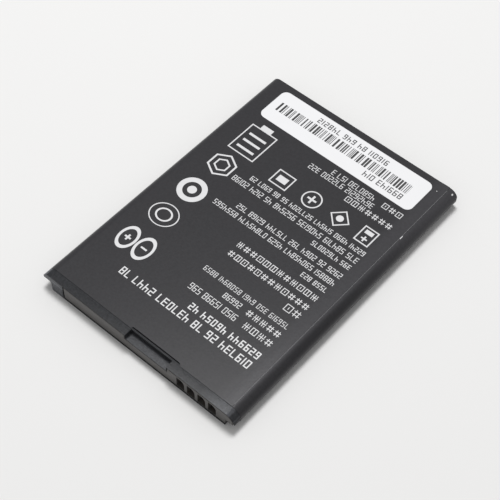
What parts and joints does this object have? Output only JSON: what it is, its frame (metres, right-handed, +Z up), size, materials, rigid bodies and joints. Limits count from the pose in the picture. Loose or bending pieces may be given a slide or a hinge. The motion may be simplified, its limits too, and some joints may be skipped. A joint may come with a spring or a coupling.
{
  "type": "mobile phone battery",
  "caption": "Flat removable phone battery pack with rounded long sides, a film wrap, a barcode sticker and a notched moulded end cap with recessed contacts.",
  "frame": {"origin": "middle of the footprint, on the surface that the battery lies on, printed face up", "axes": "+X across the width, +Y along the length away from the contact end, +Z up out of the printed face"},
  "size_m": [0.049, 0.0692, 0.0043],
  "materials": {
    "film": "satin printed film",
    "label": "coated paper",
    "cap": "finely textured moulding",
    "plate": "smooth moulding",
    "gold": "gold plating",
    "can": "drawn",
    "nickel": "nickel strip",
    "insulator": "insulating paper",
    "gasket": "moulded",
    "board": "coated laminate",
    "chip": "moulded",
    "ceramic": "fired ceramic",
    "tape": "double-sided tape"
  },
  "bodies": {
    "root": {"end_cap": "cap", "front_plate": "plate", "rear_cap": "cap", "wrap_film": "film", "barcode_label": "label", "cell": "can", "lid_insulator": "insulator", "terminal_gasket": "gasket", "terminal_rivet": "nickel", "fill_plug": "can", "clad_plate": "nickel", "thermal_cutoff": "chip", "positive_tab": "nickel", "negative_tab": "nickel", "cutoff_lead": "nickel", "protection_board": "board", "positive_pad": "nickel", "negative_pad": "nickel", "protection_chip": "chip", "switch_chip": "chip", "sense_resistor": "ceramic", "filter_resistor": "ceramic", "filter_capacitor": "ceramic", "thermistor": "ceramic", "identity_resistor": "ceramic", "rear_adhesive": "tape", "contact_1": "gold", "contact_2": "gold", "contact_3": "gold", "contact_4": "gold"}
  },
  "joints": []
}
